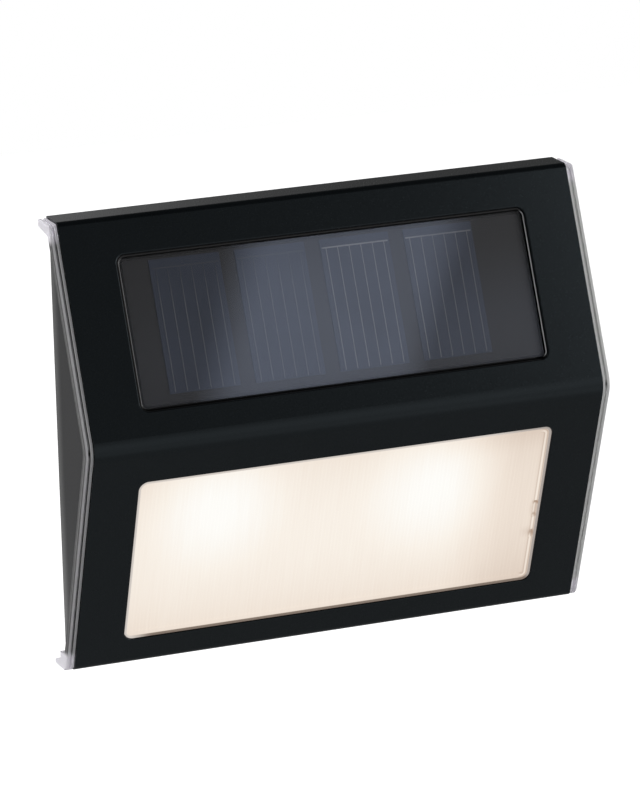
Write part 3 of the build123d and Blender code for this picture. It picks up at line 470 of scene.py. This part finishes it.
def side_facing(tree):
    """1 where the surface faces left or right, and 0 where it faces the front."""
    normal = add(tree, "ShaderNodeSeparateXYZ")
    tree.links.new(add(tree, "ShaderNodeTexCoord").outputs["Normal"], normal.inputs[0])
    return fade(tree, combine(tree, "ABSOLUTE", normal.outputs["X"]), *SIDE_FACING_FADE)


def lip_colour(tree, haze, sideways, right_half, upper_depth):
    """Colour of the frame's ends: pale, with dark painted shade in the left grooves and black painted shade
    deep down, and white at the tabs.
    """
    # Painted shade: the grooves on the left are dark and the deep parts nearly black
    left_groove_shade = (0.11, 0.11, 0.112)
    right_groove = (0.93, 0.94, 0.93)
    right_front = (0.95, 0.96, 0.95)
    deep_shade = (0.014, 0.014, 0.015)
    tab_white = (0.95, 0.93, 0.98)
    left_front = tint(tree, haze, (0.74, 0.74, 0.76), (0.88, 0.88, 0.90))
    front = tint(tree, right_half, left_front, right_front)
    groove = tint(tree, right_half, left_groove_shade, right_groove)
    lower_depth = along(tree, slope_axes(RIDGE_CORNER, BOTTOM_CORNER)[2], BOTTOM_CORNER)
    # Mask of the black painted shade, more than about a millimetre behind the cover's slopes
    deep = fade(tree, combine(tree, "MINIMUM", upper_depth, lower_depth), *LIP_DEPTH_FADE)
    tab = fade(tree, combine(tree, "ABSOLUTE", along(tree, (0, 0, 1))), *TAB_FADE)
    colour = tint(tree, deep, tint(tree, sideways, front, groove), deep_shade)
    return tint(tree, tab, colour, tab_white)


def pocket_colour(tree, sideways, right_half, upper_depth):
    """Colour of the frame behind the cover: black painted shade, but for painted highlights on the sides of
    the solar pocket's rim.
    """
    # Painted highlights on the sides of the pocket's rim: grey on the left, bright on the right
    left_rim_highlight = (0.45, 0.45, 0.46)
    lit_rim = (0.95, 0.96, 0.98)
    # Painted shade behind the cover, a little less dark above the solar panel
    black = (0.00004, 0.00004, 0.00005)
    top_shade = (0.006, 0.006, 0.0066)
    shade = tint(tree, fade(tree, panel_drop(tree), *TOP_RIM_FADE), black, top_shade)
    # The painted highlight on the right side gives way to painted shade deeper down
    right_rim = tint(tree, fade(tree, upper_depth, *RIM_DEPTH_FADE), lit_rim, shade)
    return tint(tree, sideways, shade, tint(tree, right_half, left_rim_highlight, right_rim))


def clear_plastic():
    """Smoky clear plastic: dark with painted shade behind the cover but for painted highlights on the edges
    that catch light, and pale at its ends.
    """
    material, tree, shader = new_material("clear_plastic")
    haze = grain(tree, size=1.5 * MM)
    sideways = side_facing(tree)
    right_half = fade(tree, across_of(tree), *RIGHT_HALF_FADE)
    upper_depth = along(tree, slope_axes(TOP_CORNER, RIDGE_CORNER)[2], TOP_CORNER)
    inside = fade(tree, combine(tree, "ABSOLUTE", across_of(tree)), *INSIDE_FADE)
    ends = lip_colour(tree, haze, sideways, right_half, upper_depth)
    pocket = pocket_colour(tree, sideways, right_half, upper_depth)
    tree.links.new(tint(tree, inside, ends, pocket), shader.inputs["Base Color"])
    end_rough = spread(tree, haze, low=0.30, high=0.40)
    pocket_rough = spread(tree, haze, low=0.14, high=0.20)
    tree.links.new(tint_value(tree, inside, end_rough, pocket_rough), shader.inputs["Roughness"])
    shader.inputs["Transmission Weight"].default_value = 0.45
    shader.inputs["IOR"].default_value = 1.5
    shader.inputs["Specular IOR Level"].default_value = 0.12
    relief(tree, shader, haze, height=0.01 * MM, strength=0.3)
    return material


def housing_plastic():
    """Dark grey plastic, paler towards the wall as painted light, and paler towards the foot."""
    material, tree, shader = new_material("housing_plastic")
    fine = grain(tree, size=0.4 * MM)
    # Painted light: paler within a few millimetres of the wall
    near_wall_light = fade(tree, along(tree, (0, -1, 0)), *NEAR_WALL_FADE)
    foot = fade(tree, along(tree, (0, 0, 1)), *HOUSING_FOOT_FADE)
    front_foot = (0.062, 0.062, 0.063)
    back_top = (0.11, 0.11, 0.11)
    back_foot = (0.19, 0.19, 0.19)
    front_top = tint(tree, spread(tree, fine, 0, 1), (0.034, 0.034, 0.035), (0.041, 0.041, 0.042))
    front = tint(tree, foot, front_top, front_foot)
    back = tint(tree, foot, back_top, back_foot)
    tree.links.new(tint(tree, near_wall_light, front, back), shader.inputs["Base Color"])
    tree.links.new(spread(tree, fine, low=0.65, high=0.8), shader.inputs["Roughness"])
    shader.inputs["Specular IOR Level"].default_value = 0.15
    relief(tree, shader, fine, height=0.015 * MM)
    return material


def glow_spot(tree, across, drop, spot):
    """1 at a spot on a slope, falling smoothly to 0 at its reach."""
    side = combine(tree, "DIVIDE", combine(tree, "SUBTRACT", across, spot[0]), SPOT_REACH[0])
    rise = combine(tree, "DIVIDE", combine(tree, "SUBTRACT", drop, spot[1]), SPOT_REACH[1])
    square = combine(tree, "ADD", combine(tree, "POWER", side, 2.0), combine(tree, "POWER", rise, 2.0))
    return fade(tree, combine(tree, "SQRT", square), 1.0, 0.0)


def edge_distance(tree, across, drop, width, height, corner):
    """Distance inwards from the edge of a rounded rectangle on a slope."""
    side = combine(tree, "SUBTRACT", combine(tree, "ABSOLUTE", across), width / 2 - corner)
    middle = combine(tree, "SUBTRACT", drop, height / 2)
    rise = combine(tree, "SUBTRACT", combine(tree, "ABSOLUTE", middle), height / 2 - corner)
    outer_side = combine(tree, "POWER", combine(tree, "MAXIMUM", side, 0.0), 2.0)
    outer_rise = combine(tree, "POWER", combine(tree, "MAXIMUM", rise, 0.0), 2.0)
    round_part = combine(tree, "SQRT", combine(tree, "ADD", outer_side, outer_rise))
    straight_part = combine(tree, "MINIMUM", combine(tree, "MAXIMUM", side, rise), 0.0)
    return combine(tree, "SUBTRACT", corner, combine(tree, "ADD", round_part, straight_part))


def edge_line(tree, glow, edge, middle, half_width, share, colour):
    """A soft line of another colour at a distance from an edge."""
    off = combine(tree, "ABSOLUTE", combine(tree, "SUBTRACT", edge, middle))
    line = combine(tree, "MULTIPLY", fade(tree, off, half_width, LINE_CORE * half_width), share)
    return tint(tree, line, glow, colour)


def lens_edges(tree, across, drop, glow):
    """The glow with painted shade and highlight lines along the lens's right edge, painted shade at its foot
    and painted shade at its notches.
    """
    edge = edge_distance(tree, across, drop, LENS_WIDTH, LENS_HEIGHT, LENS_CORNER)
    # Painted shade and highlight lines near the lens's right edge
    right_edge = fade(tree, across, *RIGHT_EDGE_FADE)
    for middle, half_width, strength, colour in LENS_LINES:
        share = combine(tree, "MULTIPLY", right_edge, strength)
        glow = edge_line(tree, glow, edge, middle, half_width, share, colour)
    # Painted shade along the lens's foot
    shade_top = LENS_HEIGHT - FOOT_SHADE_HEIGHT
    glow = tint(tree, fade(tree, drop, shade_top, LENS_HEIGHT, 0.0, FOOT_SHADE_STRENGTH), glow, LENS_SHADE)
    # Painted shade at the notches, on the right half only
    right_half = combine(tree, "GREATER_THAN", across, 0.0)
    for place, length, half_width, strength in NOTCH_SHADES:
        beside = combine(tree, "ABSOLUTE", combine(tree, "SUBTRACT", drop, place))
        spot = combine(tree, "MULTIPLY", fade(tree, beside, length / 2, 0.0), strength)
        share = combine(tree, "MULTIPLY", spot, right_half)
        glow = edge_line(tree, glow, edge, NOTCH_INSET, half_width, share, LENS_BROWN)
    return glow


def lens_level(tree, across, drop, streaks):
    """Brightness of the lens, as a place in its row of colours."""
    off_brightest = combine(tree, "SUBTRACT", combine(tree, "DIVIDE", drop, LENS_HEIGHT), LENS_BRIGHTEST)
    level = combine(tree, "SUBTRACT", LENS_LEVEL, combine(tree, "POWER", off_brightest, 2.0))
    for spot, gain in ((LEFT_SPOT, LEFT_SPOT_GAIN), (RIGHT_SPOT, RIGHT_SPOT_GAIN)):
        added = combine(tree, "MULTIPLY", glow_spot(tree, across, drop, spot), gain)
        level = combine(tree, "ADD", level, added)
    level = combine(tree, "ADD", level, fade(tree, across, *RIGHT_END_FADE, 0.0, -RIGHT_END_LOSS))
    level = combine(tree, "ADD", level, fade(tree, across, *LEFT_END_FADE, 0.0, -LEFT_END_LOSS))
    near_right = fade(tree, across, *TOP_RIGHT_ACROSS_FADE)
    top_right = combine(tree, "MULTIPLY", near_right, fade(tree, drop, *TOP_RIGHT_DOWN_FADE))
    level = combine(tree, "SUBTRACT", level, combine(tree, "MULTIPLY", top_right, TOP_RIGHT_LOSS))
    return combine(tree, "ADD", level, spread(tree, streaks, -STREAK_GAIN, STREAK_GAIN))


def lens_plastic():
    """Frosted warm white, lit from behind by two lamps, with fine upright streaks and a border of painted
    shade and highlight lines.
    """
    material, tree, shader = new_material("lens_plastic")
    across = across_of(tree)
    drop = lens_drop(tree)
    streaks = grain(tree, STREAK_WIDTH, detail=1.0, squeeze=STREAK_SQUEEZE)
    glow = colour_ramp(tree, lens_level(tree, across, drop, streaks), LENS_COLOURS)
    tree.links.new(lens_edges(tree, across, drop, glow), shader.inputs["Emission Color"])
    shader.inputs["Emission Strength"].default_value = 0.985
    base = tint(tree, streaks, (0.02, 0.02, 0.018), (0.03, 0.03, 0.027))
    tree.links.new(base, shader.inputs["Base Color"])
    shader.inputs["Roughness"].default_value = 0.4
    shader.inputs["Specular IOR Level"].default_value = 0.15
    return material


def bead_plastic():
    """Edge of the lens: milky, with painted shade that makes it dull grey on the right and brown along the
    foot.
    """
    material, tree, shader = new_material("bead_plastic")
    # Painted shade: grey on the right, brown along the foot past the left corner
    right = fade(tree, across_of(tree), *BEAD_RIGHT_FADE)
    foot = fade(tree, lens_drop(tree), *BEAD_FOOT_FADE)
    past_corner = fade(tree, across_of(tree), *BEAD_CORNER_FADE)
    milky = (0.72, 0.66, 0.61)
    glow = tint(tree, right, milky, LENS_GREY)
    glow = tint(tree, combine(tree, "MULTIPLY", foot, past_corner), glow, LENS_SHADE)
    tree.links.new(glow, shader.inputs["Emission Color"])
    shader.inputs["Emission Strength"].default_value = 0.8
    cloud = grain(tree, size=0.6 * MM)
    tree.links.new(tint(tree, cloud, (0.10, 0.09, 0.08), (0.16, 0.15, 0.14)), shader.inputs["Base Color"])
    shader.inputs["Roughness"].default_value = 0.4
    shader.inputs["Specular IOR Level"].default_value = 0.2
    return material


def solar_silicon():
    """Bluish black silicon."""
    material, tree, shader = new_material("solar_silicon")
    cloud = grain(tree, size=9 * MM)
    colour = tint(tree, spread(tree, cloud, 0, 1), (0.018, 0.027, 0.050), (0.023, 0.033, 0.061))
    tree.links.new(colour, shader.inputs["Base Color"])
    shader.inputs["Roughness"].default_value = 0.4
    shader.inputs["Specular IOR Level"].default_value = 0.25
    return material


def silver_print():
    """Dull silver lines, clearest on the third cell and faint at the top of the first two."""
    material, tree, shader = new_material("silver_print")
    across = across_of(tree)
    left_cells = fade(tree, panel_drop(tree), *PRINT_DOWN_FADE, low=0.03, high=0.5)
    right_cells = fade(tree, across, *PRINT_FOURTH_CELL_FADE, low=1.0, high=0.6)
    level = tint_value(tree, fade(tree, across, *PRINT_THIRD_CELL_FADE), left_cells, right_cells)
    colour = tint(tree, level, (0.030, 0.038, 0.058), (0.21, 0.215, 0.23))
    tree.links.new(colour, shader.inputs["Base Color"])
    rough = spread(tree, grain(tree, size=0.3 * MM), low=0.4, high=0.55)
    tree.links.new(rough, shader.inputs["Roughness"])
    shader.inputs["Specular IOR Level"].default_value = 0.25
    return material


def panel_board():
    """Black laminate behind the cells."""
    material, tree, shader = new_material("panel_board")
    cloud = grain(tree, size=8 * MM)
    colour = tint(tree, cloud, (0.008, 0.008, 0.009), (0.010, 0.010, 0.011))
    tree.links.new(colour, shader.inputs["Base Color"])
    shader.inputs["Roughness"].default_value = 0.5
    shader.inputs["Specular IOR Level"].default_value = 0.25
    return material


def film_haze(tree):
    """Strength of the film's haze: a cloudy band with soft edges, or a faint veil beside it."""
    across = across_of(tree)
    drop = panel_drop(tree)
    leaned = combine(tree, "ADD", across, combine(tree, "MULTIPLY", drop, HAZE_LEAN))
    left = fade(tree, leaned, HAZE_LEFT - HAZE_SOFTNESS, HAZE_LEFT + HAZE_SOFTNESS)
    right = fade(tree, leaned, HAZE_RIGHT + HAZE_SOFTNESS, HAZE_RIGHT - HAZE_SOFTNESS)
    middle = combine(tree, "MULTIPLY", glow_spot(tree, across, drop, HAZE_MIDDLE), HAZE_MIDDLE_GAIN)
    cloud = combine(tree, "ADD", middle, spread(tree, grain(tree, size=14 * MM), low=0.80, high=0.90))
    band = combine(tree, "MULTIPLY", combine(tree, "MULTIPLY", left, right), cloud)
    veil = fade(tree, across, *VEIL_ACROSS_FADE, low=0.08, high=0.22)
    veil = combine(tree, "MULTIPLY", veil, fade(tree, drop, *VEIL_DOWN_FADE))
    return combine(tree, "MAXIMUM", band, veil)


def panel_resin():
    """Clear film with a milky band of haze."""
    material, tree, shader = new_material("panel_resin")
    haze = film_haze(tree)
    colour = tint(tree, haze, (0.135, 0.137, 0.148), (0.60, 0.675, 0.87))
    tree.links.new(colour, shader.inputs["Base Color"])
    tree.links.new(fade(tree, haze, 0.0, 1.0, low=0.2, high=0.35), shader.inputs["Roughness"])
    shader.inputs["Specular IOR Level"].default_value = 0.3
    shader.inputs["Alpha"].default_value = 0.2
    return material


def led_resin():
    """Clear warm resin of the lit lamps."""
    material, tree, shader = new_material("led_resin")
    cloud = grain(tree, size=1.0 * MM)
    tree.links.new(tint(tree, cloud, (0.95, 0.88, 0.62), (0.98, 0.95, 0.80)), shader.inputs["Base Color"])
    shader.inputs["Roughness"].default_value = 0.08
    shader.inputs["Transmission Weight"].default_value = 0.6
    shader.inputs["Emission Color"].default_value = (1.0, 0.93, 0.8, 1)
    shader.inputs["Emission Strength"].default_value = 1.0
    return material


def plain_finishes():
    """Finishes that are a dark and a light colour, a range of roughness and a grain."""
    plastic = {"grain_size": 0.4 * MM, "height": 0.015 * MM}
    steel = {"grain_size": 0.5 * MM, "height": 0.004 * MM, "metal": 1.0}
    foam = {"grain_size": 0.3 * MM, "height": 0.05 * MM}
    rubber = {"grain_size": 0.3 * MM, "height": 0.04 * MM}
    sleeve = {"grain_size": 3 * MM, "height": 0.01 * MM}
    board = {"grain_size": 0.8 * MM, "height": 0.01 * MM}
    wire = {"grain_size": 1 * MM, "height": 0.01 * MM}
    rows = (
        ("foam_tape", (0.70, 0.70, 0.68), (0.84, 0.84, 0.82), (0.8, 0.95), foam),
        ("reflector_white", (0.88, 0.88, 0.86), (0.93, 0.93, 0.91), (0.25, 0.4), plastic),
        ("back_plastic", (0.020, 0.020, 0.022), (0.030, 0.030, 0.032), (0.45, 0.62), plastic),
        ("seal_rubber", (0.02, 0.02, 0.02), (0.05, 0.05, 0.05), (0.8, 0.95), rubber),
        ("screw_steel", (0.34, 0.34, 0.35), (0.46, 0.46, 0.47), (0.25, 0.42), steel),
        ("cell_steel", (0.58, 0.57, 0.54), (0.74, 0.73, 0.70), (0.2, 0.35), steel),
        ("cell_sleeve", (0.03, 0.17, 0.09), (0.05, 0.22, 0.12), (0.22, 0.32), sleeve),
        ("contact_nickel", (0.62, 0.60, 0.56), (0.76, 0.74, 0.70), (0.18, 0.32), steel),
        ("board_green", (0.012, 0.11, 0.045), (0.02, 0.16, 0.07), (0.3, 0.45), board),
        ("board_white", (0.80, 0.80, 0.77), (0.88, 0.88, 0.85), (0.35, 0.5), board),
        ("chip_black", (0.02, 0.02, 0.02), (0.035, 0.035, 0.035), (0.5, 0.7), plastic),
        ("ferrite", (0.045, 0.042, 0.04), (0.08, 0.075, 0.07), (0.55, 0.75), plastic),
        ("capacitor_can", (0.60, 0.61, 0.62), (0.74, 0.75, 0.76), (0.25, 0.4), steel),
        ("switch_steel", (0.55, 0.55, 0.55), (0.70, 0.70, 0.70), (0.3, 0.45), steel),
        ("knob_plastic", (0.08, 0.08, 0.085), (0.11, 0.11, 0.115), (0.45, 0.6), plastic),
        ("wire_red", (0.36, 0.02, 0.02), (0.46, 0.03, 0.03), (0.4, 0.5), wire),
        ("wire_black", (0.02, 0.02, 0.02), (0.035, 0.035, 0.035), (0.4, 0.5), wire),
    )
    return {name: surface(name, dark, light, rough, **kind) for name, dark, light, rough, kind in rows}


def make_finishes():
    finishes = plain_finishes()
    for make in (cover_paint, clear_plastic, housing_plastic, lens_plastic, bead_plastic, solar_silicon,
                 silver_print, panel_board, panel_resin, led_resin):
        finishes[make.__name__] = make()
    return finishes


def dress_nodes(finishes):
    for row in frame["record"]["subparts"]:
        mesh = frame["nodes"][row["node"]].data
        mesh.materials.clear()
        mesh.materials.append(finishes[row["material_slot"]])


def rounded_outline(width, height, corner):
    """Points round a rectangle with rounded corners, counter-clockwise from its right side."""
    points = []
    for quarter, (side, rise) in enumerate(((1, 1), (-1, 1), (-1, -1), (1, -1))):
        for step in range(ROUND_STEPS + 1):
            angle = (quarter + step / ROUND_STEPS) * pi / 2
            x = side * (width / 2 - corner) + corner * cos(angle)
            y = rise * (height / 2 - corner) + corner * sin(angle)
            points.append((x, y))
    return points


def slope_axes(upper, lower):
    """Directions across, down and into one of the cover's slopes."""
    across = Vector((1, 0, 0))
    down = (lower - upper).normalized()
    return across, down, across.cross(down)


def node_span(node, upper, axes):
    """Lowest and highest place of a CAD node along each axis of a slope, from the slope's upper corner."""
    spots = [vertex.co - upper for vertex in frame["nodes"][node].data.vertices]
    runs = [[spot.dot(axis) for spot in spots] for axis in axes]
    return [(min(run), max(run)) for run in runs]


def mesh_piece(name, points, faces, material):
    mesh = bpy.data.meshes.new(name)
    mesh.from_pydata(points, [], faces)
    mesh.materials.append(material)
    piece = bpy.data.objects.new(name, mesh)
    bpy.context.scene.collection.objects.link(piece)
    return piece


def ring_piece(name, middle, axes, size, corner, rings, capped, material):
    """A piece made of rounded rectangles on a slope, each shrunk by a length and set in by a depth.

    A capped piece is filled inside its last ring, and another one is joined back to its first ring.
    """
    across, down, inward = axes
    points = []
    for shrink, inset in rings:
        for x, y in rounded_outline(size[0] - 2 * shrink, size[1] - 2 * shrink, corner - shrink):
            points.append(middle + across * x - down * y + inward * inset)
    count = len(points) // len(rings)
    faces = [range(len(points) - count, len(points))] if capped else []
    for ring in range(len(rings) - 1 if capped else len(rings)):
        low = ring * count
        high = (ring + 1) % len(rings) * count
        for index in range(count):
            after = (index + 1) % count
            faces.append((low + index, low + after, high + after, high + index))
    piece = mesh_piece(name, points, faces, material)
    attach(piece, "root")
    return piece


def make_film(finishes):
    """The clear film as a shell with softened edges, open underneath, a little larger than the CAD film."""
    axes = slope_axes(TOP_CORNER, RIDGE_CORNER)
    sides, drops, insets = node_span("solar_film", TOP_CORNER, axes)
    middle = TOP_CORNER + axes[0] * (sum(sides) / 2 + FILM_SHIFT) + axes[1] * sum(drops) / 2
    rings = [(0.0, insets[1])]
    for step in range(ROUND_STEPS + 1):
        angle = step / ROUND_STEPS * pi / 2
        rings.append((FILM_EDGE * (1 - cos(angle)), insets[0] + FILM_EDGE * (1 - sin(angle))))
    size = (sides[1] - sides[0] + 2 * FILM_SPREAD, drops[1] - drops[0] + 2 * FILM_SPREAD)
    film = ring_piece("film_shell", middle, axes, size, FILM_CORNER, rings, True,
                      finishes["panel_resin"])
    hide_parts("solar_film")


def make_bead(finishes):
    """The lens's raised bead, which nearly fills the gap between the lens and the window."""
    axes = slope_axes(RIDGE_CORNER, BOTTOM_CORNER)
    middle = RIDGE_CORNER + axes[1] * (LENS_TOP + LENS_HEIGHT / 2)
    rings = []
    for step in range(ROUND_STEPS + 1):
        angle = step / ROUND_STEPS * pi
        rings.append((BEAD_WIDTH / 2 * (1 - cos(angle)), BEAD_FOOT - (BEAD_FOOT - BEAD_TOP) * sin(angle)))
    size = (LENS_WIDTH + 2 * BEAD_LAP, LENS_HEIGHT + 2 * BEAD_LAP)
    ring_piece("lens_bead", middle, axes, size, LENS_CORNER + BEAD_LAP, rings, False,
               finishes["bead_plastic"])


def grip_bar(middle, length):
    """Points and faces of one closed finger bar along X, with tapered ends."""
    last_ring = 2 * ROUND_STEPS
    row = 2 * ROUND_STEPS
    points = []
    for ring in range(last_ring + 1):
        place = ring / ROUND_STEPS - 1
        size = GRIP_TIP if ring in (0, last_ring) else 1
        for step in range(row):
            angle = step / ROUND_STEPS * pi
            out = size * GRIP_HEIGHT * sin(angle)
            rise = size * GRIP_WIDTH / 2 * cos(angle)
            points.append(middle + Vector((place * length / 2, out, rise)))
    faces = [range(row), range(len(points) - 1, len(points) - row - 1, -1)]
    for low in range(0, len(points) - row, row):
        for step in range(row):
            after = (step + 1) % row
            faces.append((low + step, low + row + step, low + row + after, low + after))
    return points, faces


def make_grip(finishes):
    """Finger bars on the battery door, above its screw, half sunk into the door."""
    door_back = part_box("battery_door")[1].y
    screw_low, screw_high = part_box("door_screw")
    points = []
    faces = []
    for bar in range(GRIP_BARS):
        height = screw_high.z + GRIP_GAP + bar * GRIP_STEP
        middle = Vector(((screw_low.x + screw_high.x) / 2, door_back - GRIP_SINK, height))
        bar_points, bar_faces = grip_bar(middle, GRIP_LENGTH - bar * GRIP_TAPER)
        faces += [[len(points) + corner for corner in face] for face in bar_faces]
        points += bar_points
    grip = mesh_piece("door_grip", points, faces, finishes["back_plastic"])
    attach(grip, "door")


bpy.context.scene.view_settings.view_transform = "Standard"
make_camera()
make_world()
make_floor()
make_lamps()
finishes = make_finishes()
dress_nodes(finishes)
make_film(finishes)
make_bead(finishes)
make_grip(finishes)
